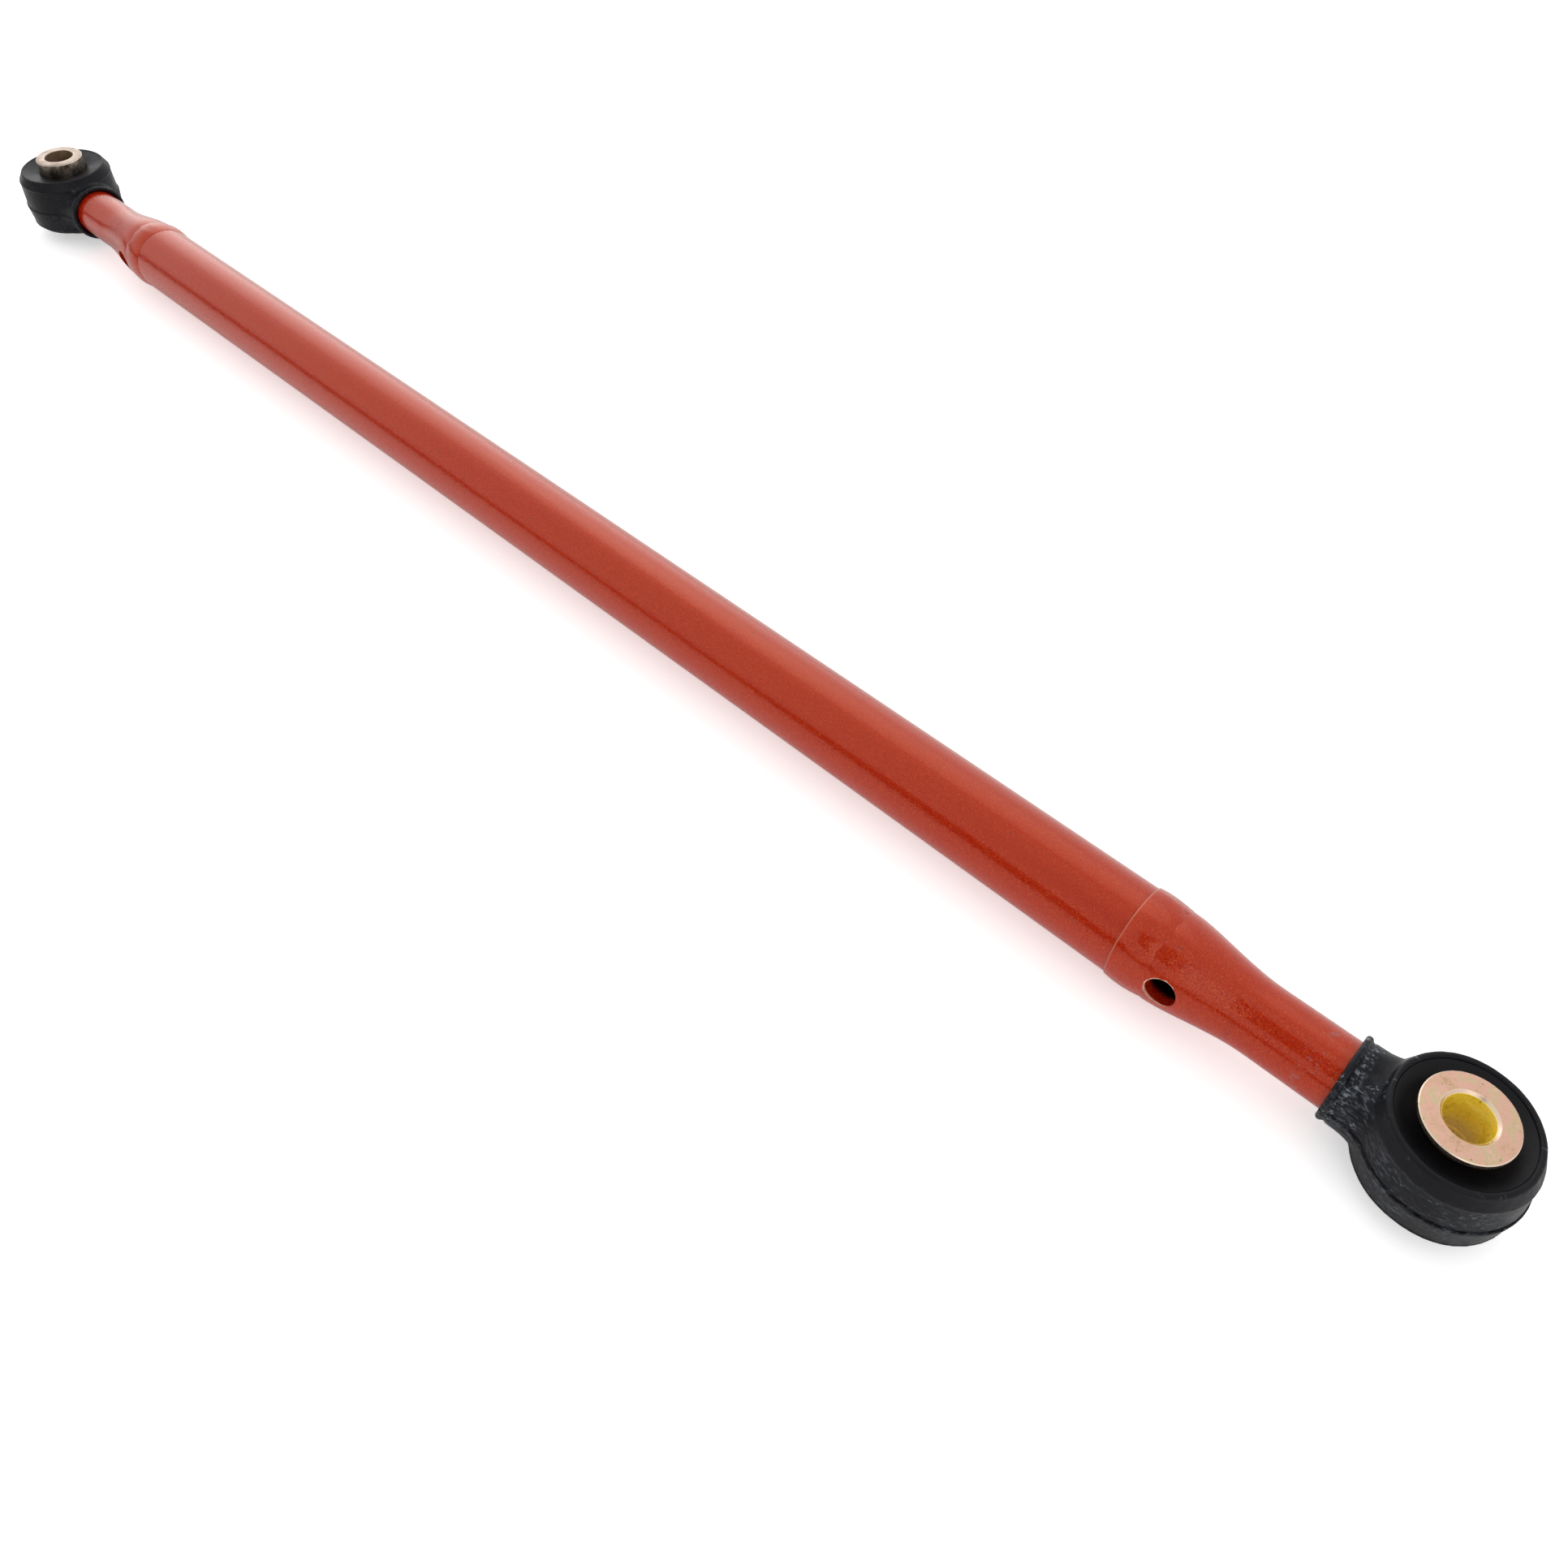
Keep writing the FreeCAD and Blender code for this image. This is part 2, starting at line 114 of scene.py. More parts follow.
# --- places that the paint follows ------------------------------------------------
BEAD_STEP_HIGHLIGHT_AT = 0.2527        # painted highlight along the sharp edge of the near weld bead, from the arm's middle
BEAD_STEP_HIGHLIGHT_HALF = 0.0004
SCUFFS_AT = 0.3065           # worn paint beside the boots, from the arm's middle
SCUFFS_HALF = 0.0045
SCRATCH_AT = 0.1382          # one short scratch on the tube
SCRATCH_TURN = 1.012         # radians up from the side
SCRATCH_SLOPE = -24.0        # radians per metre
SCRATCH_HALF = 0.022         # radians
SCRATCH_REACH = (0.0034, 0.0028)
SCRATCH_WAVES = 900.0        # radians per metre
SCRATCH_WAVE = 0.035         # radians
VENT_AT = 0.072              # from the bearing centre, along the arm
VENT_R = 0.0043
VENT_TURN = {"near": 9.0, "far": -5.0}
VENT_CHIPPED = (0.00008, 0.00034)    # paint missing round the hole
VENT_SHADE_AROUND = (0.0200, 0.0180)
SOCKET_SKIN = (0.01270, 0.01285)     # from the arm's axis: the painted outside
SOCKET_SHADED_HOLLOW = (0.0106, 0.0091)     # and the hollow inside, which gets painted shade

# --- places that the rubber follows, from the bearing centre ------------------------
WALL_FROM = (0.0180, 0.0194)         # upright outer wall of the boot's head
WALL_BELOW = (0.0100, 0.0082)
SLEEVE_FROM = (-0.0165, -0.0195)     # along the arm
ROLL_AT = -0.0238                    # rolled end of the sleeve
ROLL_HALF = 0.0022
LIP_AT = 0.0176                      # round lip above the head, where scuffs and a painted highlight go
LIP_HALF = 0.0016
LIP_ABOVE = (0.0115, 0.0128)
DISH_SHADE_WITHIN = (0.0127, 0.0108)       # painted shade on the floor of the dish, at the far end
DISH_SHADE_WIDER = 0.0036                  # and how much wider it is at the near end
DISH_SHADE_ABOVE = (0.0085, 0.0095)
PARTING_SHADE_AT = 0.00010                 # painted shade along the mould parting line round the boot
PARTING_SHADE_EDGE = (0.00034, 0.00020)
PARTING_SHADE_FROM = (0.0180, 0.0190)

# --- places that the plating follows, from the bearing centre -----------------------
BORE_WITHIN = (0.00625, 0.00615)
MOUTH_WITHIN = (0.00700, 0.00682)    # bright chamfer between bore and face
MOUTH_FROM = (0.00612, 0.00625)
RIM_FROM = (0.00030, 0.00022)        # inwards from the spacer's rim
SIDE_FROM = (0.0080, 0.0086)
LIT_BORE_BELOW = (0.0070, -0.0002)       # painted light: the bore gets paler from here down


# --- node trees ---------------------------------------------------------------
class Tree:
    """Builds a node tree with one short call per node."""

    def __init__(self, tree):
        self.tree = tree
        tree.nodes.clear()

    def add(self, kind, settings=None, **inputs):
        node = self.tree.nodes.new(kind)
        for name, value in (settings or {}).items():
            setattr(node, name, value)
        for name, value in inputs.items():
            self.feed(node.inputs[name.replace("_", " ")], value)
        return node

    def feed(self, socket, value):
        if isinstance(value, bpy.types.NodeSocket):
            self.tree.links.new(value, socket)
        else:
            socket.default_value = value

    def maths(self, operation, *values, clamp=False):
        node = self.add("ShaderNodeMath", {"operation": operation, "use_clamp": clamp})
        for socket, value in zip(node.inputs, values):
            self.feed(socket, value)
        return node.outputs[0]

    def times(self, first, second):
        return self.maths("MULTIPLY", first, second)

    def plus(self, first, second, clamp=False):
        return self.maths("ADD", first, second, clamp=clamp)

    def minus(self, first, second):
        return self.maths("SUBTRACT", first, second)

    def vector_maths(self, operation, *values):
        node = self.add("ShaderNodeVectorMath", {"operation": operation})
        for socket, value in zip(node.inputs, values):
            self.feed(socket, value)
        scalar = operation in ("DOT_PRODUCT", "LENGTH")
        return node.outputs["Value" if scalar else "Vector"]

    def smooth(self, value, low, high, low_to=0.0, high_to=1.0):
        """Smooth step of value from low to high."""
        node = self.add(
            "ShaderNodeMapRange", {"interpolation_type": "SMOOTHSTEP"},
            Value=value, From_Min=low, From_Max=high, To_Min=low_to, To_Max=high_to)
        return node.outputs["Result"]

    def window(self, value, middle, half):
        """1 at middle, falling smoothly to 0 at half to either side."""
        away = self.maths("ABSOLUTE", self.minus(value, middle))
        return self.smooth(away, half, 0.0)

    def mix(self, share, first, second):
        """First colour at share 0, second at share 1."""
        node = self.add("ShaderNodeMix", {"data_type": "RGBA"})
        self.feed(node.inputs[0], share)
        self.feed(node.inputs[6], first)
        self.feed(node.inputs[7], second)
        return node.outputs[2]

    def ramp(self, value, stops):
        node = self.add("ShaderNodeValToRGB", Fac=value)
        elements = node.color_ramp.elements
        while len(elements) < len(stops):
            elements.new(0.5)
        for element, (position, colour) in zip(elements, stops):
            element.position = position
            element.color = (*colour, 1.0)
        return node.outputs["Color"]

    def noise(self, place, scale, detail=2.0, roughness=0.5):
        node = self.add(
            "ShaderNodeTexNoise", Vector=place, Scale=scale, Detail=detail,
            Roughness=roughness)
        return node.outputs[0]

    def line_noise(self, value, scale):
        node = self.add(
            "ShaderNodeTexNoise", {"noise_dimensions": "1D"}, W=value, Scale=scale, Detail=2.0)
        return node.outputs[0]

    def cells(self, place, scale):
        node = self.add("ShaderNodeTexVoronoi", Vector=place, Scale=scale)
        return node.outputs

    def bump(self, height, distance, strength=1.0, normal=None):
        node = self.add("ShaderNodeBump", Height=height, Distance=distance, Strength=strength)
        if normal is not None:
            self.feed(node.inputs["Normal"], normal)
        return node.outputs["Normal"]

    def split(self, vector):
        node = self.add("ShaderNodeSeparateXYZ", Vector=vector)
        return node.outputs

    def join(self, x, y, z):
        return self.add("ShaderNodeCombineXYZ", X=x, Y=y, Z=z).outputs[0]

    def stretched(self, place, scale):
        return self.vector_maths("MULTIPLY", place, scale)


def material(name, paint):
    """New material; paint(tree, place) adds its nodes and returns the shader's inputs."""
    made = bpy.data.materials.new(name)
    made.use_nodes = True
    tree = Tree(made.node_tree)
    place = tree.add("ShaderNodeTexCoord").outputs["Object"]
    shader = tree.add("ShaderNodeBsdfPrincipled")
    for socket, value in paint(tree, place).items():
        tree.feed(shader.inputs[socket], value)
    output = tree.add("ShaderNodeOutputMaterial")
    tree.tree.links.new(shader.outputs[0], output.inputs["Surface"])
    return made


def grey(level):
    return (level, level, level, 1.0)


def rgb(red, green, blue):
    return (red, green, blue, 1.0)


# --- materials ----------------------------------------------------------------
def red_paint(tree, place):
    """Orange-red gloss paint with fine metal flakes, orange peel, specks and scuffs; a painted
    highlight along the near bead's edge and painted shade in the hollow behind each vent.
    """
    flake = tree.cells(place, 4600.0)
    luck = tree.split(flake["Color"])
    colour = tree.ramp(luck[0], [
        (0.0, (0.325, 0.005, 0.0005)),
        (0.55, (0.365, 0.010, 0.0008)),
        (0.90, (0.400, 0.022, 0.0025)),
        (0.99, (0.470, 0.060, 0.0140)),
    ])
    cloud = tree.noise(place, 26.0, 3.0)
    clouded = tree.smooth(cloud, 0.35, 0.75, 0.0, 0.20)
    colour = tree.mix(clouded, colour, rgb(0.39, 0.022, 0.002))

    x, y, z = tree.split(place)
    distance = tree.maths("ABSOLUTE", x)
    scuffs = tree.noise(tree.stretched(place, (1.0, 1.6, 1.6)), 420.0, 4.0, 0.65)
    neck = tree.window(distance, SCUFFS_AT, SCUFFS_HALF)
    worn = tree.times(neck, tree.smooth(scuffs, 0.55, 0.68))
    colour = tree.mix(tree.times(worn, 0.55), colour, rgb(0.19, 0.17, 0.18))
    speck = tree.smooth(tree.noise(place, 300.0, 1.0), 0.765, 0.80)
    colour = tree.mix(tree.times(speck, 0.45), colour, rgb(0.10, 0.03, 0.03))
    scratch = scratch_mask(tree, x, y, z)
    colour = tree.mix(tree.times(scratch, 0.9), colour, rgb(0.02, 0.008, 0.008))
    # painted highlight: a pale pink line along the near weld bead's sharp edge
    step = tree.window(x, BEAD_STEP_HIGHLIGHT_AT, BEAD_STEP_HIGHLIGHT_HALF)
    colour = tree.mix(tree.times(step, 0.5), colour, rgb(0.62, 0.20, 0.12))
    for end in ENDS:
        rim, hollow_shade = vent_masks(tree, place, end)
        colour = tree.mix(tree.times(rim, 0.85), colour, rgb(0.74, 0.46, 0.36))
        # painted shade: the socket's hollow seen through the vent is coloured near black
        colour = tree.mix(tree.times(hollow_shade, 0.92), colour, rgb(0.006, 0.003, 0.003))

    wobble = tree.vector_maths("SUBTRACT", flake["Color"], (0.5, 0.5, 0.5))
    wobble = tree.vector_maths("MULTIPLY", wobble, (0.20, 0.20, 0.20))
    normal = tree.add("ShaderNodeNewGeometry").outputs["Normal"]
    normal = tree.vector_maths("NORMALIZE", tree.vector_maths("ADD", normal, wobble))
    peel = tree.noise(place, 330.0, 2.0)
    return {
        "Base Color": colour,
        "Metallic": tree.smooth(luck[1], 0.4, 0.98, 0.0, 0.35),
        "Roughness": tree.smooth(scuffs, 0.3, 0.8, 0.13, 0.22),
        "Specular IOR Level": 0.60,
        "Specular Tint": rgb(1.0, 0.55, 0.24),
        "Normal": normal,
        "Coat Weight": tree.smooth(worn, 0.0, 1.0, 0.45, 0.10),
        "Coat IOR": 1.42,
        "Coat Roughness": 0.05,
        "Coat Normal": tree.bump(peel, 0.00006, 0.5),
    }


def scratch_mask(tree, x, y, z):
    """Mask of one short, slightly wavy scratch that runs aslant round the tube."""
    turn = tree.maths("ARCTAN2", z, y)
    along = tree.minus(x, SCRATCH_AT)
    bend = tree.times(tree.maths("SINE", tree.times(along, SCRATCH_WAVES)), SCRATCH_WAVE)
    course = tree.plus(tree.times(along, SCRATCH_SLOPE), bend)
    aside = tree.minus(tree.minus(turn, SCRATCH_TURN), course)
    reach = tree.smooth(tree.maths("ABSOLUTE", along), *SCRATCH_REACH)
    return tree.times(tree.window(aside, 0.0, SCRATCH_HALF), reach)


def vent_masks(tree, place, end):
    """Masks of one vent hole's chipped rim and of the painted shade in the hollow behind it."""
    turn = math.radians(VENT_TURN[end])
    middle = Vector((JOINT_CENTRE[end].x + TOWARDS_ARM[end] * VENT_AT, 0.0, 0.0))
    outwards = Vector((0.0, -math.cos(turn), math.sin(turn)))
    away = tree.vector_maths("SUBTRACT", place, middle)
    depth = tree.vector_maths("DOT_PRODUCT", away, outwards)
    spine = tree.vector_maths("MULTIPLY", tree.join(depth, depth, depth), outwards)
    radius = tree.vector_maths("LENGTH", tree.vector_maths("SUBTRACT", away, spine))
    chips = tree.noise(place, 900.0, 2.0)
    outer = tree.plus(tree.smooth(chips, 0.35, 0.70, *VENT_CHIPPED), VENT_R)
    near_hole = tree.times(
        tree.maths("LESS_THAN", radius, outer), tree.maths("GREATER_THAN", depth, 0.0))
    across = tree.vector_maths("MULTIPLY", away, (0.0, 1.0, 1.0))
    from_axis = tree.vector_maths("LENGTH", across)
    rim = tree.times(near_hole, tree.smooth(from_axis, *SOCKET_SKIN))
    close_by = tree.smooth(radius, *VENT_SHADE_AROUND)
    return rim, tree.times(close_by, tree.smooth(from_axis, *SOCKET_SHADED_HOLLOW))


def from_bearing(tree, x, y):
    """How far a place lies beyond the bearing nearest to it, and its radius about it."""
    beyond = tree.minus(tree.maths("ABSOLUTE", x), abs(JOINT_CENTRE["near"].x))
    squares = tree.plus(tree.maths("POWER", beyond, 2.0), tree.maths("POWER", y, 2.0))
    return beyond, tree.maths("SQRT", squares)


def black_rubber(tree, place):
    """Moulded black rubber: soft sheen, brushed grey dust, whitish scuffs that are partly
    painted highlight on the lip and wall, and painted shade in the dish and along the parting
    line.
    """
    x, y, z = tree.split(place)
    beyond, radius = from_bearing(tree, x, y)
    height = tree.maths("ABSOLUTE", z)
    at_near = tree.maths("GREATER_THAN", x, 0.0)
    handled = tree.plus(tree.times(at_near, 0.8), 0.2)

    wall = tree.times(tree.smooth(radius, *WALL_FROM), tree.smooth(height, *WALL_BELOW))
    sleeve = tree.smooth(beyond, *SLEEVE_FROM)
    roll = tree.window(beyond, ROLL_AT, ROLL_HALF)
    lip = tree.times(tree.window(radius, LIP_AT, LIP_HALF), tree.smooth(height, *LIP_ABOVE))
    inwards = tree.minus(radius, tree.times(at_near, DISH_SHADE_WIDER))
    dish_shade = tree.times(tree.smooth(inwards, *DISH_SHADE_WITHIN), tree.smooth(height, *DISH_SHADE_ABOVE))
    off_line = tree.maths("ABSOLUTE", tree.minus(z, PARTING_SHADE_AT))
    parting_shade = tree.times(
        tree.smooth(off_line, *PARTING_SHADE_EDGE), tree.smooth(radius, *PARTING_SHADE_FROM))

    brushed = tree.noise(tree.stretched(place, (1.0, 1.0, 3.2)), 520.0, 5.0, 0.7)
    patches = tree.noise(place, 90.0, 4.0, 0.6)
    colour = tree.ramp(patches, [
        (0.34, (0.0013, 0.0015, 0.0026)),
        (0.58, (0.0036, 0.0040, 0.0062)),
        (0.76, (0.0085, 0.0094, 0.0135)),
    ])
    dust = tree.times(tree.smooth(brushed, 0.46, 0.70), tree.smooth(patches, 0.3, 0.75))
    dusty = tree.times(dust, tree.plus(tree.times(wall, 0.9), tree.times(sleeve, 0.25)))
    colour = tree.mix(tree.times(dusty, handled), colour, rgb(0.105, 0.112, 0.132))
    # painted shade: the parting groove is coloured near black
    colour = tree.mix(tree.times(parting_shade, 0.9), colour, rgb(0.0015, 0.0015, 0.0020))

    streaks = tree.noise(tree.stretched(place, (0.3, 1.0, 0.8)), 900.0, 3.0, 0.75)
    smears = tree.noise(place, 210.0, 2.0)
    scuffed = tree.times(tree.smooth(streaks, 0.56, 0.66), tree.smooth(smears, 0.47, 0.60))
    # whitish scuffs: wear on the sleeve; on the lip and wall partly wear and partly painted
    # highlight
    head_scuffs_and_highlights = tree.plus(tree.times(lip, 0.6), tree.times(wall, 0.3))
    touched = tree.times(tree.plus(tree.times(sleeve, 0.9), head_scuffs_and_highlights, clamp=True), handled)
    colour = tree.mix(tree.times(scuffed, touched), colour, rgb(0.22, 0.24, 0.28))
    grains = tree.smooth(tree.noise(place, 640.0, 3.0, 0.7), 0.50, 0.66)
    powder = tree.times(tree.times(roll, handled), grains)
    colour = tree.mix(tree.times(powder, 0.8), colour, rgb(0.20, 0.22, 0.25))
    # painted shade: the floor of the dish round the spacer is coloured near black
    colour = tree.mix(tree.times(dish_shade, 0.75), colour, rgb(0.0020, 0.0020, 0.0025))

    skin = tree.noise(place, 1500.0, 3.0, 0.6)
    normal = tree.bump(skin, 0.00005, 0.45)
    normal = tree.bump(brushed, 0.00008, 0.35, normal)
    return {
        "Base Color": colour,
        "Roughness": tree.smooth(patches, 0.3, 0.8, 0.34, 0.56),
        "Specular IOR Level": 0.18,
        "Normal": normal,
    }


def zinc(tints, bore_tints, edge_tint, speck_tint, roughness, rim_r, side_stain_and_shade):
    """Passivated zinc on turned steel: bright edges, a side darkened by stain and painted shade,
    a coloured bore with painted light low down.
    """
    def paint(tree, place):
        x, y, z = tree.split(place)
        radius = from_bearing(tree, x, y)[1]
        film = tree.noise(place, 150.0, 4.0, 0.62)
        grain = tree.noise(place, 1300.0, 3.0, 0.7)
        tone = tree.plus(film, tree.times(tree.minus(grain, 0.5), 0.42))

        in_bore = tree.smooth(radius, *BORE_WITHIN)
        colour = tree.mix(in_bore, tree.ramp(tone, tints), tree.ramp(tone, bore_tints))
        mouth = tree.times(tree.smooth(radius, *MOUTH_WITHIN), tree.smooth(radius, *MOUTH_FROM))
        rim = tree.smooth(radius, rim_r - RIM_FROM[0], rim_r - RIM_FROM[1])
        edges = tree.plus(tree.times(mouth, 0.5), tree.times(rim, 0.65), clamp=True)
        colour = tree.mix(edges, colour, edge_tint)
        # stain and painted shade: the upright side is darkened in noisy patches
        facing = tree.split(tree.add("ShaderNodeTexCoord").outputs["Normal"])[2]
        upright = tree.smooth(tree.maths("ABSOLUTE", facing), 0.6, 0.3)
        side = tree.times(upright, tree.smooth(radius, *SIDE_FROM))
        stain = tree.smooth(tree.noise(place, 170.0, 4.0, 0.65), 0.36, 0.58, 0.45, 1.0)
        stain_and_shade = tree.times(side, tree.times(stain, side_stain_and_shade))
        colour = tree.mix(stain_and_shade, colour, rgb(0.034, 0.030, 0.022))
        # painted light: the lower part of the bore is made paler
        lit_lower_bore = tree.times(in_bore, tree.smooth(z, *LIT_BORE_BELOW))
        colour = tree.mix(tree.times(lit_lower_bore, 0.6), colour, edge_tint)
        speck = tree.smooth(tree.noise(place, 1050.0, 1.0), 0.70, 0.76)
        colour = tree.mix(tree.times(speck, 0.7), colour, speck_tint)

        cut = tree.mix(in_bore, tree.line_noise(radius, 9000.0), tree.line_noise(z, 7000.0))
        normal = tree.bump(cut, 0.00002, 0.35)
        normal = tree.bump(grain, 0.00002, 0.5, normal)
        return {
            "Base Color": colour,
            "Metallic": tree.minus(1.0, tree.times(in_bore, 0.85)),
            "Roughness": tree.smooth(grain, 0.3, 0.8, roughness - 0.06, roughness + 0.14),
            "Normal": normal,
        }
    return paint


def steel(shade, roughness, scale):
    """Machined or forged steel with an uneven oily tone."""
    def paint(tree, place):
        cloud = tree.noise(place, scale, 5.0, 0.6)
        fine = tree.noise(place, scale * 9.0, 2.0)
        dark = tuple(0.55 * part for part in shade)
        return {
            "Base Color": tree.ramp(cloud, [(0.3, dark), (0.7, shade)]),
            "Metallic": 1.0,
            "Roughness": tree.smooth(fine, 0.2, 0.8, roughness, roughness + 0.2),
            "Normal": tree.bump(fine, 0.00004, 0.5),
        }
    return paint


def liner_cloth(tree, place):
    """Woven low-friction liner between race and ball."""
    weave = tree.add("ShaderNodeTexWave", Vector=place, Scale=900.0, Distortion=1.5).outputs[1]
    return {
        "Base Color": tree.ramp(weave, [(0.2, (0.10, 0.08, 0.05)), (0.8, (0.24, 0.20, 0.13))]),
        "Roughness": 0.75,
        "Normal": tree.bump(weave, 0.00005, 0.6),
    }


def pale_floor(tree, place):
    """White table that glows a little; the glow doesn't show in gloss, where the table is also
    painted darker.
    """
    mottled = tree.noise(place, 3.0, 2.0)
    in_gloss = tree.add("ShaderNodeLightPath").outputs["Is Glossy Ray"]
    colour = tree.mix(mottled, rgb(*FLOOR_COLOUR), grey(0.95))
    return {
        # painted shade in reflections: glossy rays see the table darker
        "Base Color": tree.mix(tree.times(in_gloss, 0.2), colour, grey(0.45)),
        "Roughness": 0.9,
        "Specular IOR Level": 0.1,
        "Emission Color": grey(1.0),
        "Emission Strength": tree.times(tree.minus(1.0, in_gloss), FLOOR_GLOW),
    }


YELLOW_TINTS = [
    (0.30, (0.44, 0.27, 0.16)),
    (0.42, (0.56, 0.36, 0.24)),
    (0.52, (0.64, 0.37, 0.30)),
    (0.60, (0.50, 0.41, 0.23)),
    (0.70, (0.66, 0.40, 0.33)),
    (0.80, (0.72, 0.52, 0.40)),
]
OLIVE_TINTS = [
    (0.30, (0.74, 0.56, 0.03)),
    (0.55, (1.00, 0.78, 0.09)),
    (0.80, (1.00, 0.86, 0.24)),
]
WORN_TINTS = [
    (0.28, (0.26, 0.20, 0.16)),
    (0.48, (0.44, 0.35, 0.29)),
    (0.62, (0.54, 0.45, 0.39)),
    (0.80, (0.38, 0.27, 0.22)),
]
BROWN_TINTS = [
    (0.30, (0.13, 0.08, 0.05)),
    (0.55, (0.24, 0.16, 0.10)),
    (0.80, (0.34, 0.24, 0.15)),
]

MATERIALS = {
    "red_paint": material("red_paint", red_paint),
    "black_rubber": material("black_rubber", black_rubber),
    "yellow_zinc": material("yellow_zinc", zinc(
        YELLOW_TINTS, OLIVE_TINTS, edge_tint=rgb(0.90, 0.76, 0.62),
        speck_tint=rgb(0.20, 0.12, 0.05), roughness=0.30, rim_r=0.0116, side_stain_and_shade=0.35)),
    "worn_zinc": material("worn_zinc", zinc(
        WORN_TINTS, BROWN_TINTS, edge_tint=rgb(0.70, 0.60, 0.50),
        speck_tint=rgb(0.14, 0.09, 0.06), roughness=0.36, rim_r=0.0100, side_stain_and_shade=0.90)),
    "forged_steel": material("forged_steel", steel((0.30, 0.29, 0.28), 0.42, 140.0)),
    "bare_weld": material("bare_weld", steel((0.36, 0.33, 0.30), 0.35, 260.0)),
    "bearing_steel": material("bearing_steel", steel((0.58, 0.58, 0.57), 0.16, 90.0)),
    "spring_steel": material("spring_steel", steel((0.20, 0.20, 0.21), 0.32, 200.0)),
    "liner_fabric": material("liner_fabric", liner_cloth),
}


def finish_cad_nodes():
    """Gives each CAD node the worked-up material of its own slot."""
    for node in frame["nodes"].values():
        for index, slot in enumerate(node.data.materials):
            node.data.materials[index] = MATERIALS[slot.name.split(".")[0]]


# --- mesh helpers ---------------------------------------------------------------
def new_object(name, mesh, slot):
    """Smooth-shaded object with one material, linked and given its slot."""
    made = bpy.data.objects.new(name, mesh)
    bpy.context.scene.collection.objects.link(made)
    mesh.materials.clear()
    mesh.materials.append(MATERIALS[slot])
    for face in mesh.polygons:
        face.use_smooth = True
    return made


def ring_mesh(name, steps, section_at):
    """Closed ring: section_at(turn) gives the section's points at each step round."""
    grid = bmesh.new()
    rings = []
    for step in range(steps):
        turn = 2.0 * math.pi * step / steps
        rings.append([grid.verts.new(point) for point in section_at(turn)])
    for step in range(steps):
        here = rings[step]
        there = rings[(step + 1) % steps]
        for index in range(len(here)):
            after = (index + 1) % len(here)
            grid.faces.new((here[index], here[after], there[after], there[index]))
    bmesh.ops.recalc_face_normals(grid, faces=grid.faces)
    mesh = bpy.data.meshes.new(name)
    grid.to_mesh(mesh)
    grid.free()
    return mesh


# --- weld beads -----------------------------------------------------------------
BEAD_STEPS = 300
BEAD_ROWS = 30
BEAD_PASSES = 17             # ripples left by the torch in one turn
BEAD_ROOT = 0.8 * MM         # how deep the bead reaches into the joint groove
BEAD_STEP = {"near": 0.55, "far": 0.0}       # share of the crown left at the tube's edge
BEAD_FADE = {"near": 1.25, "far": 1.0}       # where the crown would run out
BEAD_SWAY = 1.6              # radians that the ripples wander
BEAD_SCALLOP = 0.30 * MM
BEAD_UNEVEN = 0.6 * MM
BEAD_LAP = 0.55 * MM         # bead melted onto the taper


def weld_bead(end):
    """Painted weld bead, scalloped towards the taper; the near one ends in a low step."""
    low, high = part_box(end + "_tube_weld")
    side = TOWARDS_ARM[end]
    tube_low, tube_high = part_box("main_tube")
    tube_r = tube_high.z
    crown = high.z - tube_r
    arm_side = high.x if side > 0 else low.x
    taper_side = low.x if side > 0 else high.x
    seed = Vector((3.1, 7.7, 1.3)) * (1.0 if end == "near" else 2.0)

    def section_at(turn):
        points = []
        drift = noise.noise(seed + 2.2 * Vector((math.cos(turn), math.sin(turn), 0.0)))
        phase = BEAD_PASSES * turn + BEAD_SWAY * drift
        for row in range(BEAD_ROWS + 1):
            share = row / BEAD_ROWS
            scallop = BEAD_SCALLOP * math.sin(phase) * (1.0 - share) ** 2
            uneven = BEAD_UNEVEN * drift * (1.0 - share)
            x = taper_side + (arm_side - taper_side) * share
            x += side * (scallop + uneven + BEAD_LAP) * (1.0 - share)
            rise = math.sin(math.pi * min(1.0, share / BEAD_FADE[end])) ** 0.8
            step = BEAD_STEP[end] * min(1.0, (1.0 - share) * 14.0)
            ripple = 0.045 * math.sin(phase + 3.0 * share) * math.sin(math.pi * share)
            lump = 0.22 * drift * math.sin(math.pi * share)
            lift = crown * min(0.97, max(0.0, max(rise * 0.86, step * share) + ripple + lump))
            radius = tube_r + lift
            points.append((x, radius * math.cos(turn), radius * math.sin(turn)))
        root = tube_r - BEAD_ROOT
        for edge, opposite in ((arm_side, taper_side), (taper_side, arm_side)):
            inset = edge + (opposite - edge) * 0.3
            points.append((inset, root * math.cos(turn), root * math.sin(turn)))
        return points

    name = end + "_tube_weld_bead"
    bead = new_object(name, ring_mesh(name, BEAD_STEPS, section_at), "red_paint")
    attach(bead, "arm")
    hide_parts(end + "_tube_weld")


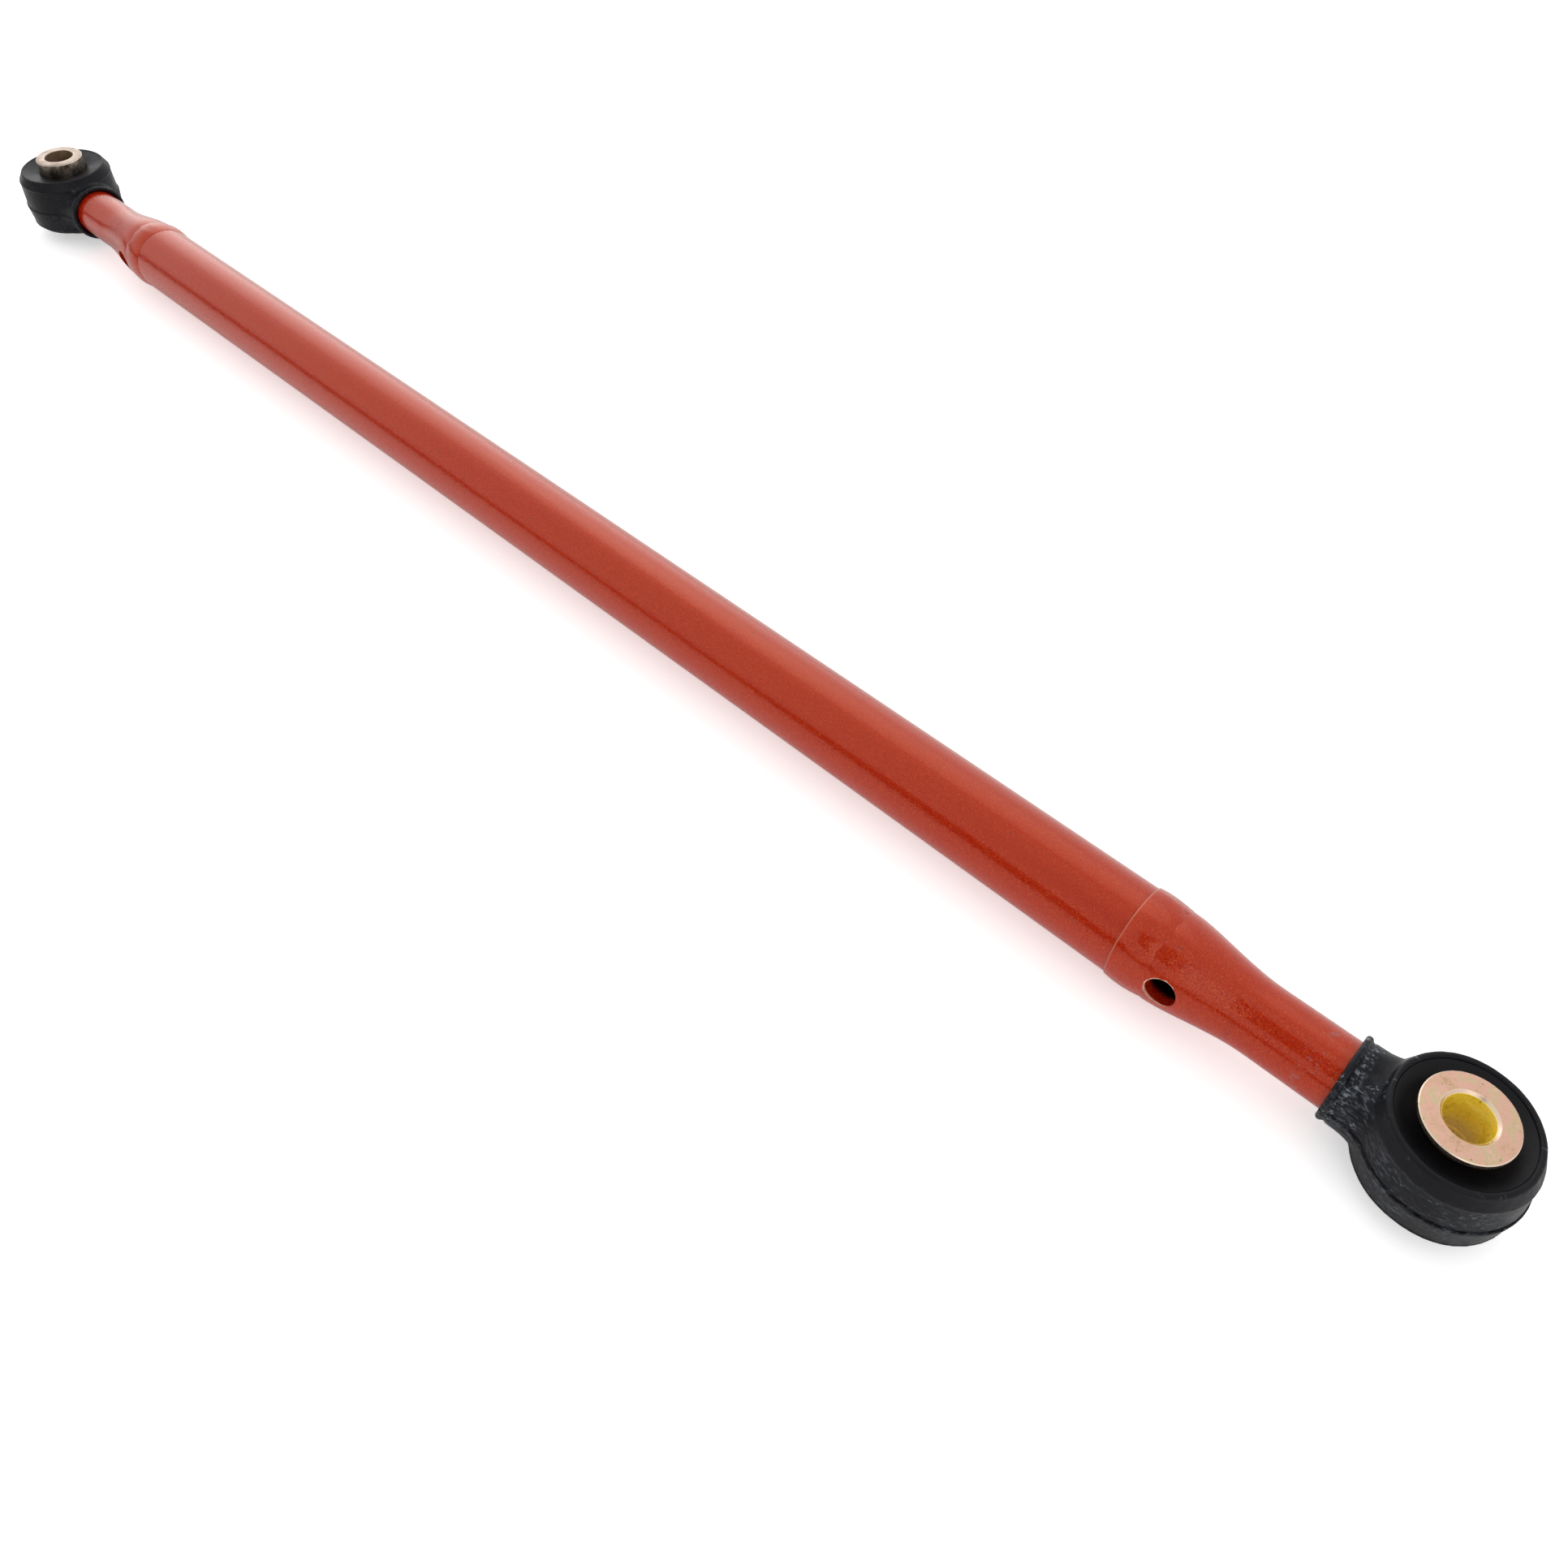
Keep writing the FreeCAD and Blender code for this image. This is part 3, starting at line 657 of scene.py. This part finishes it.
# --- rubber boots ---------------------------------------------------------------
BOOT_VOXEL = 0.30 * MM
BOOT_RELAX = {"near": 4, "far": 14}
BOOT_WAVE = 0.16 * MM        # slow unevenness of the moulding
BOOT_GRAIN = 0.035 * MM
DENT_DEPTH = 1.10 * MM       # shallow dent on the sleeve, where the neck is loose inside
DENT_FROM = 0.0170           # from the bearing centre, along the arm
DENT_TO = 0.0245
DENT_ASIDE = -0.002
DENT_HALF = 0.0045
PARTING_HALF = 0.42 * MM
PARTING_DEPTH = {"near": 0.60 * MM, "far": 0.35 * MM}
HEAD_R = 0.0185              # the head's wall is outside this radius,
SLEEVE_AT = 0.016            # the sleeve beyond this distance along the arm
SLEEVE_R = 0.0112
INNER_R = 0.0135             # the rubber inside this radius stays as it is


def evaluated_copy(source, modifiers):
    """Mesh of source after the given modifiers, as (kind, settings) pairs."""
    scratch = bpy.data.objects.new("scratch", source.data.copy())
    bpy.context.scene.collection.objects.link(scratch)
    for kind, settings in modifiers:
        modifier = scratch.modifiers.new(kind, kind)
        for name, value in settings.items():
            setattr(modifier, name, value)
    graph = bpy.context.evaluated_depsgraph_get()
    mesh = bpy.data.meshes.new_from_object(scratch.evaluated_get(graph))
    bpy.data.objects.remove(scratch)
    return mesh


def boot_shift(point, normal, end):
    """How far one point of the boot's outer surface moves along its normal."""
    centre = JOINT_CENTRE[end]
    from_centre = point - centre
    along = from_centre.x * TOWARDS_ARM[end]
    flat = math.hypot(from_centre.x, from_centre.y)
    across = math.hypot(point.y, point.z)
    shift = BOOT_WAVE * noise.noise(point * 90.0) + BOOT_GRAIN * noise.noise(point * 700.0)
    on_wall = flat > HEAD_R or (along > SLEEVE_AT and across > SLEEVE_R)
    if on_wall and abs(point.z) < PARTING_HALF:
        shift -= PARTING_DEPTH[end] * (1.0 - (point.z / PARTING_HALF) ** 2)
    if DENT_FROM < along < DENT_TO and normal.z > 0.2:
        slope = math.sin(math.pi * (along - DENT_FROM) / (DENT_TO - DENT_FROM))
        side = math.exp(-((from_centre.y - DENT_ASIDE) / DENT_HALF) ** 2)
        shift -= DENT_DEPTH * slope * side
    return shift


def rubber_boot(end):
    """The CAD boot remade in soft-edged rubber."""
    node = frame["nodes"][end + "_boot"]
    mesh = evaluated_copy(node, [
        ("WELD", {"merge_threshold": 1e-6}),
        ("REMESH", {"mode": "VOXEL", "voxel_size": BOOT_VOXEL}),
        ("SMOOTH", {"factor": 0.5, "iterations": BOOT_RELAX[end]}),
    ])
    centre = JOINT_CENTRE[end]
    moved = []
    for vertex in mesh.vertices:
        point = vertex.co.copy()
        outside = math.hypot(point.x - centre.x, point.y) > INNER_R
        outside = outside and vertex.normal.dot(point - centre) > 0.0
        shift = boot_shift(point, vertex.normal, end) if outside else 0.0
        moved.append(point + vertex.normal * shift)
    for vertex, point in zip(mesh.vertices, moved):
        vertex.co = point
    boot = new_object(end + "_boot_rubber", mesh, "black_rubber")
    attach(boot, "arm")
    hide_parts(end + "_boot")


# --- seals ------------------------------------------------------------------------
SEAL_STEPS = 144
SEAL_ROWS = 14
SEAL_THICK = 0.35 * MM
SEAL_SHAPE = {               # outer radius and height, inner radius and height, dishing
    "near_upper": (16.7 * MM, 13.45 * MM, 9.50 * MM, 10.7 * MM, 1.3),
    "near_lower": (17.2 * MM, 10.65 * MM, 9.15 * MM, 9.6 * MM, 1.0),
    "far_upper": (17.0 * MM, 14.05 * MM, 10.02 * MM, 12.6 * MM, 0.8),
    "far_lower": (17.2 * MM, 10.65 * MM, 9.45 * MM, 9.6 * MM, 1.0),
}


def seal(end, side):
    """Thin dished rubber skin from the boot's lip to the spacer."""
    centre = JOINT_CENTRE[end]
    outer_r, outer_z, inner_r, inner_z, dishing = SEAL_SHAPE[end + "_" + side]
    sign = 1.0 if side == "upper" else -1.0

    def section_at(turn):
        upper = []
        lower = []
        for row in range(SEAL_ROWS + 1):
            share = row / SEAL_ROWS
            radius = inner_r + (outer_r - inner_r) * share
            height = inner_z + (outer_z - inner_z) * share ** dishing
            for rows, level in ((upper, height), (lower, height - SEAL_THICK)):
                rows.append((
                    centre.x + radius * math.cos(turn),
                    centre.y + radius * math.sin(turn),
                    centre.z + sign * level))
        return upper + lower[::-1]

    name = end + "_boot_seal_" + side
    lip = new_object(name, ring_mesh(name, SEAL_STEPS, section_at), "black_rubber")
    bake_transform(lip)


# --- studio -----------------------------------------------------------------------
def studio_floor():
    """Wide white table just under the lowest point."""
    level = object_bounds()[0].z - FLOOR_DROP
    mesh = bpy.data.meshes.new("floor")
    signs = [(-1, -1), (1, -1), (1, 1), (-1, 1)]
    corners = [(x * FLOOR_HALF, y * FLOOR_HALF, level) for x, y in signs]
    mesh.from_pydata(corners, [], [(0, 1, 2, 3)])
    floor = bpy.data.objects.new("floor", mesh)
    bpy.context.scene.collection.objects.link(floor)
    mesh.materials.append(material("pale_floor", pale_floor))


def studio_tent():
    """White light tent: a dark gap at the horizon in front, one roof seam, one opening."""
    world = bpy.data.worlds.new("tent")
    world.use_nodes = True
    bpy.context.scene.world = world
    tree = Tree(world.node_tree)
    ahead = tree.add("ShaderNodeTexCoord").outputs["Generated"]
    x, y, z = tree.split(ahead)
    wide = tree.times(tree.window(x, -0.28, 0.25), HORIZON_WIDER)
    above_gap = tree.minus(z, tree.plus(wide, HORIZON_TOP))
    gap = tree.times(tree.smooth(above_gap, 0.0, -0.05), tree.smooth(y, -0.1, -0.5))
    slope = tree.maths("DIVIDE", y, tree.maths("MAXIMUM", z, 0.05))
    seam = tree.times(tree.window(slope, SEAM_SLOPE, SEAM_HALF), tree.smooth(z, 0.1, 0.3))
    height = tree.maths("ARCTAN2", z, tree.times(y, -1.0))
    middle = math.radians((OPENING_LOW + OPENING_HIGH) / 2.0)
    reach = math.radians((OPENING_HIGH - OPENING_LOW) / 2.0)
    off_middle = tree.maths("ABSOLUTE", tree.minus(height, middle))
    off_side = tree.maths("ABSOLUTE", tree.minus(x, OPENING_X))
    opening = tree.times(
        tree.smooth(off_middle, reach, reach - 0.05),
        tree.smooth(off_side, OPENING_HALF, OPENING_HALF - 0.03))
    light = 1.0
    for dark, share in ((gap, GAP_DARKNESS), (seam, SEAM_DARKNESS), (opening, OPENING_DARKNESS)):
        light = tree.times(light, tree.minus(1.0, tree.times(dark, share)))
    back = tree.times(tree.smooth(x, -0.15, -0.70), tree.smooth(y, -0.15, 0.45))
    light = tree.times(light, tree.plus(1.0, tree.times(back, BACK_GLOW)))
    seen = tree.add("ShaderNodeLightPath").outputs["Is Camera Ray"]
    strength = tree.maths("MAXIMUM", tree.times(light, TENT_LIGHT), seen)
    background = tree.add("ShaderNodeBackground", Color=grey(1.0), Strength=strength)
    output = tree.add("ShaderNodeOutputWorld")
    tree.tree.links.new(background.outputs[0], output.inputs["Surface"])


def soft_lamp(name, place, size, power):
    """Rectangular area lamp aimed at the arm's middle."""
    lamp = bpy.data.lights.new(name, "AREA")
    lamp.shape = "RECTANGLE"
    lamp.size, lamp.size_y = size
    lamp.energy = power
    holder = bpy.data.objects.new(name, lamp)
    bpy.context.scene.collection.objects.link(holder)
    holder.location = place
    aim = ARM_MIDDLE - Vector(place)
    holder.rotation_mode = "QUATERNION"
    holder.rotation_quaternion = aim.to_track_quat("-Z", "Y")


def camera():
    """Camera placed by its position, viewing direction and right-hand direction."""
    lens = bpy.data.cameras.new("camera")
    lens.sensor_width = CAMERA_SENSOR
    lens.lens = CAMERA_LENS
    lens.shift_x, lens.shift_y = CAMERA_SHIFT
    lens.clip_start = 0.01
    lens.clip_end = 50.0
    holder = bpy.data.objects.new("camera", lens)
    bpy.context.scene.collection.objects.link(holder)
    back = -Vector(CAMERA_AHEAD).normalized()
    right = Vector(CAMERA_RIGHT).normalized()
    up = back.cross(right).normalized()
    right = up.cross(back)
    turned = Matrix((right, up, back)).transposed()
    holder.matrix_world = Matrix.Translation(CAMERA_PLACE) @ turned.to_4x4()
    bpy.context.scene.camera = holder


# --- the scene ----------------------------------------------------------------------
finish_cad_nodes()
for name in ENDS:
    weld_bead(name)
    rubber_boot(name)
    for side in ("upper", "lower"):
        seal(name, side)

studio_floor()
studio_tent()
for name, (place, size, power) in SOFT_LAMPS.items():
    soft_lamp(name, place, size, power)
camera()
bpy.context.scene.view_settings.view_transform = "Standard"
